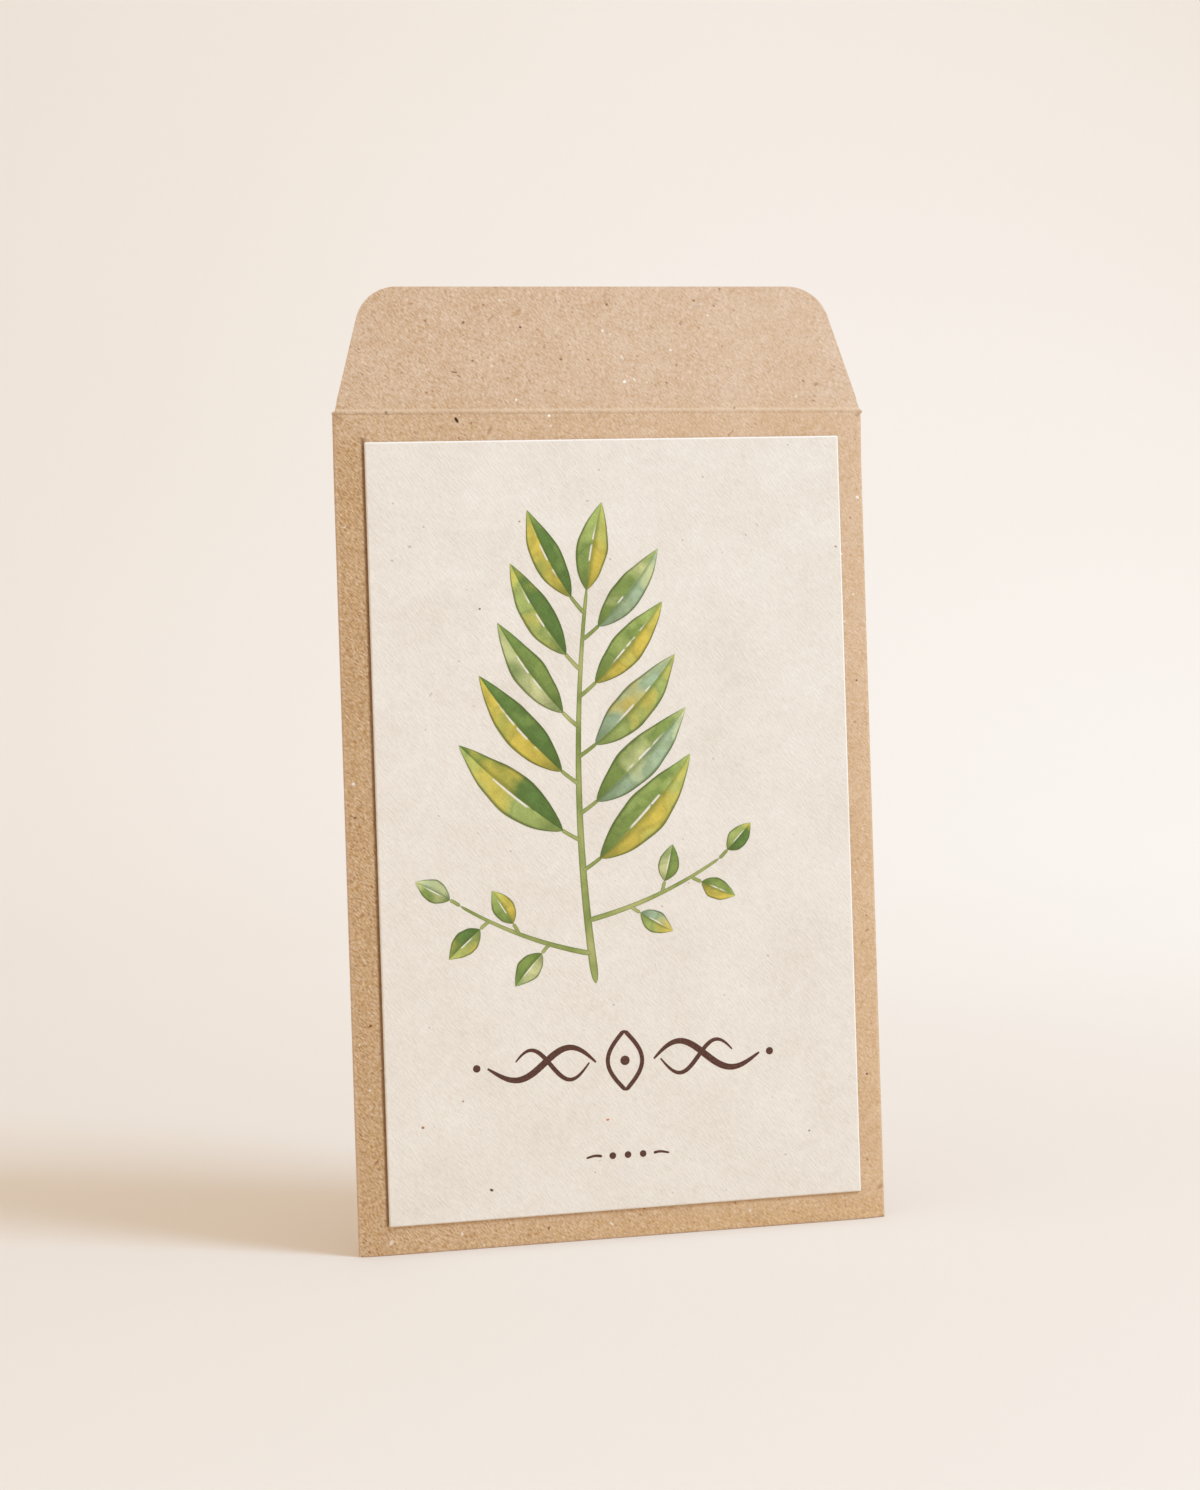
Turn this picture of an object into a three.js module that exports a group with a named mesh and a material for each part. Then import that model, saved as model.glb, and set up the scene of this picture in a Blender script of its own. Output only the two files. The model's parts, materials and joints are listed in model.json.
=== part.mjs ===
// A kraft-paper seed packet, standing upright with its top flap open.
// One folded sheet makes the pocket: a flat front, two back panels that lap at a centre seam,
// a bottom that opens into a narrow boat shape, and a bottom flap glued up over the seam.
// A cream card is glued to the front, and a handful of moringa seeds lies at the bottom.
// Millimetres, +Z up, the front faces -Y. The origin is on the surface it stands on,
// under the middle of the base.
import * as THREE from "three";

// Sheet sizes
const HALF_WIDTH = 40;
const CREASE_HEIGHT = 121;
const PAPER = 0.35;
const LAYER_GAP = 0.1;
const LAYER_STEP = PAPER + LAYER_GAP;
const BASE_CENTRE = 3.6;

// Depth of the pocket, measured from the front face to the outside of the back, halfway across
const BASE_DEPTH = 7.5;
const BELLY_DEPTH = 10.5;
const BELLY_HEIGHT = 22;
const MOUTH_DEPTH = 5.8;
const THROAT_HEIGHT = 115;
const SHOULDER_HEIGHT = 120.4;
const TAPER_POWER = 1.4;
const BACK_FULLNESS = 2.6;

// Front panel
const FRONT_TOP = 120.6;
const FRONT_CORNER = 0.8;

// Back panels
const SEAM_LAP = 12;
const LAP_RAMP = 5;
const SIDE_TRIM = 0.1;
const BACK_COLUMNS = 14;
const BACK_ROWS = 12;

// Flaps, both cut as a trapezium with round corners
const FLAP_HALF_BASE = 39.7;
const FLAP_LENGTH = 18.7;
const FLAP_SIDE_SLOPE = 0.28;
const FLAP_CORNER = 6.3;
const FLAP_LEAN = THREE.MathUtils.degToRad(8);
const FLAP_START = -0.2;
const HINGE_DEPTH = 3.2;
const BOTTOM_FLAP_HALF_BASE = 38.6;
const BOTTOM_FLAP_HEIGHT = 20;
const BOTTOM_FLAP_CORNER = 6;
const BOTTOM_FLAP_COLUMNS = 28;
const BOTTOM_FLAP_ROWS = 10;

// Base
const BASE_HALF_LENGTH = 37;
const BASE_STEPS = 28;

// Card on the front
const CARD_WIDTH = 71.6;
const CARD_HEIGHT = 112.6;
const CARD_THICKNESS = 0.5;
const CARD_CENTRE_HEIGHT = 60.5;
const CARD_CORNER = 0.3;
const GLUE_GAP = 0.05;

// Seeds
const SEED_RADIUS = 3.35;
const SEED_LENGTHENING = 1.06;
const SEED_RIDGE = 0.07;
const SEED_RIDGE_POWER = 6;
const SEED_PITCH = 8.1;
const SEED_ROW_HEIGHTS = [4.3, 11.2, 18.1];
const SEED_ROW_COUNTS = [4, 5, 4];
const SEED_SLICES = 18;
const SEED_STACKS = 9;
const SEED_SHUFFLE = 7;

const kraft = () => new THREE.MeshStandardMaterial({ color: 0xcba982, roughness: 0.9, metalness: 0 });
const kraftInside = () => new THREE.MeshStandardMaterial({ color: 0xc59f74, roughness: 0.92, metalness: 0 });
const cream = () => new THREE.MeshStandardMaterial({ color: 0xefe7da, roughness: 0.85, metalness: 0 });
const husk = () => new THREE.MeshStandardMaterial({ color: 0x5b4130, roughness: 0.75, metalness: 0 });

function named(name, geometry, material) {
  const mesh = new THREE.Mesh(geometry, material);
  mesh.name = name;
  return mesh;
}

// A plate cut to an outline drawn in X and Z, with its front at y = 0 and its back at y = thickness.
function uprightPlate(outline, thickness) {
  const plate = new THREE.ExtrudeGeometry(outline, { depth: thickness, bevelEnabled: false, curveSegments: 8 });
  plate.rotateX(Math.PI / 2);
  plate.translate(0, thickness, 0);
  return plate;
}

function roundedRectangle(halfWidth, bottom, top, corner) {
  const outline = new THREE.Shape();
  outline.moveTo(-halfWidth + corner, bottom);
  outline.lineTo(halfWidth - corner, bottom);
  outline.absarc(halfWidth - corner, bottom + corner, corner, -Math.PI / 2, 0);
  outline.lineTo(halfWidth, top - corner);
  outline.absarc(halfWidth - corner, top - corner, corner, 0, Math.PI / 2);
  outline.lineTo(-halfWidth + corner, top);
  outline.absarc(-halfWidth + corner, top - corner, corner, Math.PI / 2, Math.PI);
  outline.lineTo(-halfWidth, bottom + corner);
  outline.absarc(-halfWidth + corner, bottom + corner, corner, Math.PI, Math.PI * 1.5);
  return outline;
}

// A closed sheet over a grid. innerPoint(u, v) gives the side that faces -Y, u across and v upwards,
// and the other side lies one thickness further along +Y.
function sheetGeometry(columns, rows, innerPoint, thickness) {
  const across = columns + 1;
  const layer = across * (rows + 1);
  const positions = [];
  for (const step of [0, thickness]) {
    for (let row = 0; row <= rows; row++) {
      for (let column = 0; column <= columns; column++) {
        const [x, y, z] = innerPoint(column / columns, row / rows);
        positions.push(x, y + step, z);
      }
    }
  }
  const index = [];
  for (let row = 0; row < rows; row++) {
    for (let column = 0; column < columns; column++) {
      const a = row * across + column;
      const b = a + 1;
      const c = b + across;
      const d = a + across;
      index.push(a, b, c, a, c, d);
      index.push(layer + a, layer + c, layer + b, layer + a, layer + d, layer + c);
    }
  }
  const border = [];
  for (let column = 0; column < columns; column++) border.push(column);
  for (let row = 0; row < rows; row++) border.push(row * across + columns);
  for (let column = columns; column > 0; column--) border.push(rows * across + column);
  for (let row = rows; row > 0; row--) border.push(row * across);
  border.forEach((here, k) => {
    const next = border[(k + 1) % border.length];
    index.push(next, here, layer + here, next, layer + here, layer + next);
  });
  const geometry = new THREE.BufferGeometry();
  geometry.setAttribute("position", new THREE.Float32BufferAttribute(positions, 3));
  geometry.setIndex(index);
  geometry.computeVertexNormals();
  return geometry;
}

// How far the outside of the back stands behind the front face, halfway across.
function backDepth(z) {
  if (z < BELLY_HEIGHT) {
    const below = 1 - z / BELLY_HEIGHT;
    return BELLY_DEPTH - (BELLY_DEPTH - BASE_DEPTH) * below * below;
  }
  const above = Math.min((z - BELLY_HEIGHT) / (THROAT_HEIGHT - BELLY_HEIGHT), 1);
  return BELLY_DEPTH - (BELLY_DEPTH - MOUTH_DEPTH) * above ** TAPER_POWER;
}

// Inside of the back: it meets the front panel at the side folds and bows away between them.
function backInside(x, z) {
  const across = Math.min(Math.abs(x) / HALF_WIDTH, 1);
  const fullDepth = backDepth(z) - PAPER - LAYER_STEP;
  return LAYER_STEP + fullDepth * (1 - across ** BACK_FULLNESS);
}

// The back's top edge dips from the shoulders at the side folds to the throat at the seam.
function backTop(x) {
  return THROAT_HEIGHT + (SHOULDER_HEIGHT - THROAT_HEIGHT) * (x / HALF_WIDTH) ** 2;
}

// The right back panel climbs one layer to lie on the left one.
function rightPanelRise(x) {
  const lapEnd = SEAM_LAP / 2 + 1.5;
  return LAYER_STEP * (1 - THREE.MathUtils.smoothstep(x, lapEnd, lapEnd + LAP_RAMP));
}

// The bottom flap lies on whatever panel is outermost under it.
function bottomFlapRise(x) {
  const lapStart = -SEAM_LAP / 2 - 0.5;
  const onRight = THREE.MathUtils.smoothstep(x, lapStart - LAP_RAMP, lapStart);
  return LAYER_STEP + rightPanelRise(x) * onRight;
}

function frontPanel() {
  const outline = roundedRectangle(HALF_WIDTH, 0, FRONT_TOP, FRONT_CORNER);
  return named("front_panel", uprightPlate(outline, PAPER), kraft());
}

function backPanel(name, left, right, rise) {
  const point = (u, v) => {
    const x = THREE.MathUtils.lerp(left, right, u);
    const z = THREE.MathUtils.lerp(LAYER_STEP, backTop(x), v);
    return [x, backInside(x, z) + rise(x), z];
  };
  return named(name, sheetGeometry(BACK_COLUMNS, BACK_ROWS, point, PAPER), kraft());
}

function basePanel() {
  const outline = new THREE.Shape();
  outline.moveTo(-BASE_HALF_LENGTH, LAYER_STEP);
  outline.lineTo(BASE_HALF_LENGTH, LAYER_STEP);
  for (let step = 0; step <= BASE_STEPS; step++) {
    const x = THREE.MathUtils.lerp(BASE_HALF_LENGTH, -BASE_HALF_LENGTH, step / BASE_STEPS);
    outline.lineTo(x, backInside(x, 0) + PAPER);
  }
  const plate = new THREE.ExtrudeGeometry(outline, { depth: PAPER, bevelEnabled: false });
  return named("base_panel", plate, kraft());
}

function bottomFlap() {
  const cornerStart = BOTTOM_FLAP_HEIGHT - BOTTOM_FLAP_CORNER;
  const halfWidth = (z) => {
    const intoCorner = Math.max(z - cornerStart, 0);
    const rounding = BOTTOM_FLAP_CORNER - Math.sqrt(BOTTOM_FLAP_CORNER ** 2 - intoCorner ** 2);
    return BOTTOM_FLAP_HALF_BASE - FLAP_SIDE_SLOPE * z - rounding;
  };
  const point = (u, v) => {
    const z = BOTTOM_FLAP_HEIGHT * Math.sin((v * Math.PI) / 2);
    const x = halfWidth(z) * (2 * u - 1);
    return [x, backInside(x, z) + bottomFlapRise(x), z];
  };
  return named("bottom_flap", sheetGeometry(BOTTOM_FLAP_COLUMNS, BOTTOM_FLAP_ROWS, point, PAPER), kraft());
}

// The top flap turns about a line inside the mouth, so that it can fold right over onto the back.
function topFlap() {
  const halfTop = FLAP_HALF_BASE - FLAP_SIDE_SLOPE * FLAP_LENGTH;
  const sideTilt = Math.atan(FLAP_SIDE_SLOPE);
  const cut = FLAP_CORNER * Math.tan(Math.PI / 4 - sideTilt / 2);
  const centreX = halfTop - cut;
  const centreZ = FLAP_LENGTH - FLAP_CORNER;
  const outline = new THREE.Shape();
  outline.moveTo(-FLAP_HALF_BASE, 0);
  outline.lineTo(FLAP_HALF_BASE, 0);
  outline.absarc(centreX, centreZ, FLAP_CORNER, sideTilt, Math.PI / 2);
  outline.absarc(-centreX, centreZ, FLAP_CORNER, Math.PI / 2, Math.PI - sideTilt);
  const flap = named("top_flap", uprightPlate(outline, PAPER), kraftInside());
  flap.position.set(0, -HINGE_DEPTH, FLAP_START);
  const hinge = new THREE.Group();
  hinge.position.set(0, HINGE_DEPTH, CREASE_HEIGHT);
  hinge.rotation.x = -FLAP_LEAN;
  hinge.add(flap);
  return hinge;
}

function labelCard() {
  const bottom = CARD_CENTRE_HEIGHT - CARD_HEIGHT / 2;
  const outline = roundedRectangle(CARD_WIDTH / 2, bottom, bottom + CARD_HEIGHT, CARD_CORNER);
  const card = named("label_card", uprightPlate(outline, CARD_THICKNESS), cream());
  card.position.y = -GLUE_GAP - CARD_THICKNESS;
  return card;
}

// A husked seed: nearly round, with three low ridges where its wings were.
function seedGeometry(radius) {
  const geometry = new THREE.SphereGeometry(1, SEED_SLICES, SEED_STACKS);
  const position = geometry.getAttribute("position");
  const point = new THREE.Vector3();
  for (let k = 0; k < position.count; k++) {
    point.fromBufferAttribute(position, k);
    const round = Math.hypot(point.x, point.z);
    const turn = Math.atan2(point.z, point.x);
    const ridge = Math.abs(Math.cos(1.5 * turn)) ** SEED_RIDGE_POWER;
    point.multiplyScalar(radius * (1 + SEED_RIDGE * ridge * round));
    point.y *= SEED_LENGTHENING;
    position.setXYZ(k, point.x, point.y, point.z);
  }
  geometry.computeVertexNormals();
  return geometry;
}

// Seeds lie in rows between the front and the back, each turned its own way by a seeded draw.
function seeds() {
  const draw = (k) => (Math.sin((k + 1) * SEED_SHUFFLE) + 1) / 2;
  const made = [];
  SEED_ROW_HEIGHTS.forEach((z, row) => {
    const count = SEED_ROW_COUNTS[row];
    for (let place = 0; place < count; place++) {
      const k = made.length;
      const x = (place - (count - 1) / 2) * SEED_PITCH;
      const seed = named("seed_" + (k + 1), seedGeometry(SEED_RADIUS * (0.97 + 0.03 * draw(k))), husk());
      seed.position.set(x, (PAPER + backInside(x, z)) / 2, z);
      seed.rotation.set(draw(k + 20) * Math.PI, draw(k + 40) * Math.PI, draw(k + 60) * Math.PI);
      made.push(seed);
    }
  });
  return made;
}

const packet = new THREE.Group();
const folded = new THREE.Group();
folded.position.y = -BASE_CENTRE;
folded.add(frontPanel());
folded.add(backPanel("left_back_panel", -HALF_WIDTH + SIDE_TRIM, SEAM_LAP / 2, () => 0));
folded.add(backPanel("right_back_panel", -SEAM_LAP / 2, HALF_WIDTH - SIDE_TRIM, rightPanelRise));
folded.add(basePanel());
folded.add(bottomFlap());
folded.add(topFlap());
folded.add(labelCard());
folded.add(...seeds());
packet.add(folded);

export default packet;
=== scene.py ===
import json
import math
import random

import bpy
import numpy as np
from mathutils import Matrix, Vector, noise


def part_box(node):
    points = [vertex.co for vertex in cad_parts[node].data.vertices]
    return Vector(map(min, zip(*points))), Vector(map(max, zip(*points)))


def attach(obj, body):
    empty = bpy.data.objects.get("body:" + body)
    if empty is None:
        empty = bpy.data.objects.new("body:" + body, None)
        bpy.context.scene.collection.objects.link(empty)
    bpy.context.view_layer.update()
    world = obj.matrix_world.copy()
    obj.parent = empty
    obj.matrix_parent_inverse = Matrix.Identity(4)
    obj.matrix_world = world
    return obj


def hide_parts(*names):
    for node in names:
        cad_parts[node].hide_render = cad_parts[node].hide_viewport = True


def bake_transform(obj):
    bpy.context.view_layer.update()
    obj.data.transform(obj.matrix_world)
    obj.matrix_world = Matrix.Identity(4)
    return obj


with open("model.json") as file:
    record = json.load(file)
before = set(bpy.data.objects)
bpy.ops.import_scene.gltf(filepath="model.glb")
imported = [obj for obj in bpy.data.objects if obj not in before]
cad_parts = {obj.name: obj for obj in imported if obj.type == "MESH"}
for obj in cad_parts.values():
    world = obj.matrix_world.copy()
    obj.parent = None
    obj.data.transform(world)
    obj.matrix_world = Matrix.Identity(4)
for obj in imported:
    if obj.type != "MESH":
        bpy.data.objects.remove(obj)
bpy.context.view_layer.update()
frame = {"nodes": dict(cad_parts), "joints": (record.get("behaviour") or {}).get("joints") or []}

# Lengths are in millimetres up to the moment a mesh is made.
MM = 0.001

# Read from the frame
FRONT_LOW, FRONT_HIGH = (np.array(corner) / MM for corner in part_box("front_panel"))
CARD_LOW, CARD_HIGH = (np.array(corner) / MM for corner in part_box("label_card"))
FRONT = FRONT_LOW[1]
HALF_WIDTH = FRONT_HIGH[0]
PAPER = FRONT_HIGH[1] - FRONT
HINGE = np.array(frame["joints"][0]["pos_m"]) / MM
CREASE_HEIGHT = HINGE[2]
HINGE_DEPTH = HINGE[1] - FRONT

# The pocket's depth from front to back, halfway across, as in the frame
LAYER_STEP = PAPER + 0.1
BASE_DEPTH = 7.5
BELLY_DEPTH = 10.5
BELLY_HEIGHT = 22
MOUTH_DEPTH = 5.8
THROAT_HEIGHT = 115
SHOULDER_HEIGHT = 120.4
TAPER_POWER = 1.4
BACK_FULLNESS = 2.6
SEAM_LAP = 12
LAP_RAMP = 5

# The two flaps
FLAP_HALF_BASE = 39.7
FLAP_LENGTH = 18.7
FLAP_SIDE_SLOPE = 0.28
FLAP_CORNER = 6.3
FLAP_LEAN = math.radians(8)
FLAP_START = -0.2
FLAP_SHORT = 0.028
BOTTOM_FLAP_HALF_BASE = 38.6
BOTTOM_FLAP_HEIGHT = 20
BOTTOM_FLAP_CORNER = 6

# The card was cut by hand: its place, how far its lower and upper edges slant from left to right, and how
# wide the bevel of its edges is
CARD_SHIFT = 0.12
CARD_SLANT_LOW = 0.14
CARD_SLANT_HIGH = 0.5
CARD_BEVEL = 0.2

# Folds and wear of the sheet
FOLD_RADIUS = 0.3
FOOT_RADIUS = 0.12
FOLD_X = HALF_WIDTH - FOLD_RADIUS - PAPER / 2
FOLD_Z = FOOT_RADIUS + PAPER / 2
ROLL_START = 35
ROLL_DEPTH = 0.6
RIDGE_HEIGHT = 0.1
RIDGE_WIDTH = 0.2
GROOVE_DEPTH = 0.03
GROOVE_WIDTH = 0.14
SHOULDER_SWELL = 0.1
CREASE_STEP = 0.08
CREASE_TOP = 1.4
LIFT_REACH = 0.9
WAVE_HEIGHT = 0.05
PANEL_WAVE = 0.11
PANEL_RIPPLE = 0.025
BACK_WARMTH = 0.55

# The stretch of paper, below and above the crease, that bends when the flap turns
BEND_BELOW = 0.8
BEND_ABOVE = 1.6

# Camera: the photograph is 1200 by 1490 pixels
PHOTO_WIDTH = 1200
FOCAL_PIXELS = 3000
CAMERA_AZIMUTH = math.radians(-14.92)
CAMERA_HEIGHT = math.radians(0.5)
CAMERA_ROLL = math.radians(-1.82)
CAMERA_DISTANCE = 438.2
CAMERA_AIM = (-2.12, FRONT, 72.2)
SENSOR = 36

# Light: red, green and blue strengths, and where the key light stands
WORLD = (0.806, 0.707, 0.604)
KEY = (4.88, 6.99, 9.68)
BACKDROP_LIGHT = (3.43, 4.84, 6.67)
KEY_AZIMUTH = 41
KEY_HEIGHT = 37.5
KEY_DISTANCE = 1.2
KEY_SIZE = 0.48


def add_object(name, data):
    made = bpy.data.objects.new(name, data)
    bpy.context.scene.collection.objects.link(made)
    return made


def make_camera():
    """A nearly level camera left of the front's normal, turned a little about its own line of sight."""
    level = math.cos(CAMERA_HEIGHT)
    back = np.array([
        math.sin(CAMERA_AZIMUTH) * level,
        -math.cos(CAMERA_AZIMUTH) * level,
        math.sin(CAMERA_HEIGHT),
    ])
    right = np.array([math.cos(CAMERA_AZIMUTH), math.sin(CAMERA_AZIMUTH), 0.0])
    up = np.cross(back, right)
    turned_right = right * math.cos(CAMERA_ROLL) + up * math.sin(CAMERA_ROLL)
    turned_up = up * math.cos(CAMERA_ROLL) - right * math.sin(CAMERA_ROLL)
    matrix = np.eye(4)
    matrix[:3, 0] = turned_right
    matrix[:3, 1] = turned_up
    matrix[:3, 2] = back
    matrix[:3, 3] = (np.array(CAMERA_AIM) + back * CAMERA_DISTANCE) * MM
    data = bpy.data.cameras.new("camera")
    data.sensor_fit = "HORIZONTAL"
    data.sensor_width = SENSOR
    data.lens = SENSOR * FOCAL_PIXELS / PHOTO_WIDTH
    data.clip_start = 0.01
    camera = add_object("camera", data)
    camera.matrix_world = Matrix(matrix.tolist())
    bpy.context.scene.camera = camera


# Small helpers for shader nodes

class Shader:
    """A material's node tree with short calls for the nodes used here."""

    def __init__(self, name):
        self.material = bpy.data.materials.new(name)
        self.material.use_nodes = True
        self.tree = self.material.node_tree
        self.tree.nodes.clear()
        self.surface = self.node("BsdfPrincipled")
        self.node("OutputMaterial", self.surface.outputs[0])

    def put(self, socket, value):
        if isinstance(value, bpy.types.NodeSocket):
            self.tree.links.new(value, socket)
        elif isinstance(value, (tuple, list)) and len(value) == 3 and socket.type == "RGBA":
            socket.default_value = (*value, 1.0)
        else:
            socket.default_value = value

    def node(self, kind, *values):
        """A new node, with the values put in its first sockets in turn."""
        node = self.tree.nodes.new("ShaderNode" + kind)
        for socket, value in zip(node.inputs, values):
            self.put(socket, value)
        return node

    def attribute(self, name, output="Vector"):
        node = self.node("Attribute")
        node.attribute_name = name
        return node.outputs[output]

    def math(self, operation, *values, clamp=False):
        node = self.node("Math", *values)
        node.operation = operation
        node.use_clamp = clamp
        return node.outputs[0]

    def plus(self, first, second):
        return self.math("ADD", first, second)

    def minus(self, first, second):
        return self.math("SUBTRACT", first, second)

    def times(self, first, second):
        return self.math("MULTIPLY", first, second)

    def swing(self, value, amount):
        """How far a value between 0 and 1 is from its middle, times an amount."""
        return self.times(self.minus(value, 0.5), amount)

    def vector(self, operation, *values, output=0):
        node = self.node("VectorMath", *values)
        node.operation = operation
        return node.outputs[output]

    def split(self, vector):
        return self.node("SeparateXYZ", vector).outputs

    def join(self, first, second):
        return self.node("CombineXYZ", first, second).outputs[0]

    def turned(self, vector, angle, along, across):
        """The place turned in the sheet's plane and scaled, so that marks lie at the angle in degrees."""
        turn = self.node("VectorRotate", vector)
        turn.rotation_type = "Z_AXIS"
        turn.inputs["Angle"].default_value = -math.radians(angle)
        return self.vector("MULTIPLY", turn.outputs[0], (along, across, 1.0))

    def noise(self, vector, scale=1.0, detail=2.0, roughness=0.5, distortion=0.0):
        node = self.node("TexNoise", vector)
        node.inputs["Scale"].default_value = scale
        node.inputs["Detail"].default_value = detail
        node.inputs["Roughness"].default_value = roughness
        node.inputs["Distortion"].default_value = distortion
        return node.outputs[0]

    def cells(self, vector):
        node = self.node("TexVoronoi", vector)
        node.voronoi_dimensions = "2D"
        node.inputs["Scale"].default_value = 1.0
        return node.outputs["Distance"], node.outputs["Color"]

    def ramp(self, value, low, high, start=0.0, end=1.0, smooth=True):
        node = self.node("MapRange", value, low, high, start, end)
        node.interpolation_type = "SMOOTHSTEP" if smooth else "LINEAR"
        return node.outputs[0]

    def band(self, value, start, full, fade, end):
        """1 from full to fade, and 0 before start and past end."""
        return self.times(self.ramp(value, start, full), self.ramp(value, end, fade))

    def colours(self, value, *stops):
        """A colour for each value. A stop holds its value and its colour."""
        node = self.node("ValToRGB", value)
        elements = node.color_ramp.elements
        while len(elements) < len(stops):
            elements.new(0.5)
        for element, (place, colour) in zip(elements, stops):
            element.position = place
            element.color = (*srgb(colour), 1.0)
        return node.outputs[0]

    def mix(self, factor, first, second):
        node = self.node("Mix")
        node.data_type = "RGBA"
        node.clamp_factor = True
        for socket, value in ((0, factor), (6, first), (7, second)):
            self.put(node.inputs[socket], value)
        return node.outputs[2]

    def lay(self, colour, mask, strength, paint):
        """The colour with a paint laid over it where the mask is 1."""
        if isinstance(paint, str):
            paint = srgb(paint)
        return self.mix(self.times(mask, strength), colour, paint)

    def bump(self, height, distance, strength=1.0):
        node = self.node("Bump")
        node.inputs["Strength"].default_value = strength
        node.inputs["Distance"].default_value = distance
        self.put(node.inputs["Height"], height)
        self.put(self.surface.inputs["Normal"], node.outputs[0])

    def finish(self, colour, roughness, specular=0.25):
        self.put(self.surface.inputs["Base Color"], colour)
        self.put(self.surface.inputs["Roughness"], roughness)
        self.surface.inputs["Specular IOR Level"].default_value = specular
        return self.material


def srgb(text):
    """A colour written as in a paint chart, such as c9a780, as linear red, green and blue."""
    parts = [int(text[k:k + 2], 16) / 255 for k in (0, 2, 4)]
    return tuple(p / 12.92 if p <= 0.04045 else ((p + 0.055) / 1.055) ** 2.4 for p in parts)


# Paper. A point's place across and up the flat sheet, in millimetres, is its attribute "sheet".

WHITE_FLECK = "fdf6ea"
DARK_FLECK = "642d12"
BROWN_FLECK = "96542a"
DEEP_FLECK = "3f2010"
SOFT_BLOT = "bb8a5c"
FIBRE = "7a5334"
LONG_FIBRE = "74502f"

# How high the felt of the kraft paper and the tooth of the card stand
FELT_RELIEF = 0.05
TOOTH_RELIEF = 0.11

# The kraft's colour, from its deepest to its palest tone, where the stock is pale and where it is warm. The
# warm stock also serves as painted shade along the left margin and towards the left.
PALE_STOCK = ((0.0, "b68453"), (0.34, "d2b08c"), (0.66, "e1c6ac"), (1.0, "f0dbc5"))
WARM_STOCK = ((0.0, "ab7b48"), (0.34, "cea46f"), (0.66, "dbb585"), (1.0, "ebcca4"))

# Layers of felt: angle in degrees, scale along it and across it, weight
FELT_LAYERS = ((-48, 1.5, 9.0, 2.1), (38, 2.4, 9.0, 0.9))

# Thin threads: angle in degrees, scale along it and across it, strength, colour
KRAFT_THREADS = (
    (-48, 0.8, 3.6, 0.42, "ae7846"),
    (-42, 0.9, 4.0, 0.40, "f6e4cd"),
    (40, 1.0, 3.6, 0.24, "ae7846"),
)

# Scattered marks: angle in degrees, pitch, stretch, size, share of the cells, strength, wobble, colour
KRAFT_SPECKS = (
    (35, 2.2, 1.6, 0.20, 0.06, 0.7, 0.0, "f3e6d2"),
    (-20, 6.5, 1.3, 0.34, 0.05, 0.8, 0.0, WHITE_FLECK),
    (60, 3.4, 1.3, 0.26, 0.03, 0.70, 0.0, DARK_FLECK),
    (-35, 1.8, 1.6, 0.20, 0.12, 0.65, 0.0, BROWN_FLECK),
    (25, 4.2, 1.8, 0.42, 0.07, 0.45, 0.0, BROWN_FLECK),
    (-48, 0.9, 4.5, 0.085, 0.30, 0.40, 0.8, FIBRE),
    (40, 1.0, 4.5, 0.085, 0.18, 0.40, 0.8, FIBRE),
    (95, 1.1, 4.0, 0.085, 0.12, 0.40, 0.8, FIBRE),
    (-50, 1.3, 8.0, 0.075, 0.14, 0.60, 2.0, LONG_FIBRE),
    (48, 1.4, 8.0, 0.075, 0.06, 0.60, 2.2, LONG_FIBRE),
)
CARD_SPECKS = (
    (-50, 3.6, 1.5, 0.18, 0.12, 0.5, 0.0, "a5795a"),
    (15, 5.0, 2.6, 0.15, 0.10, 0.5, 0.0, "b08a6a"),
)

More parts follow.
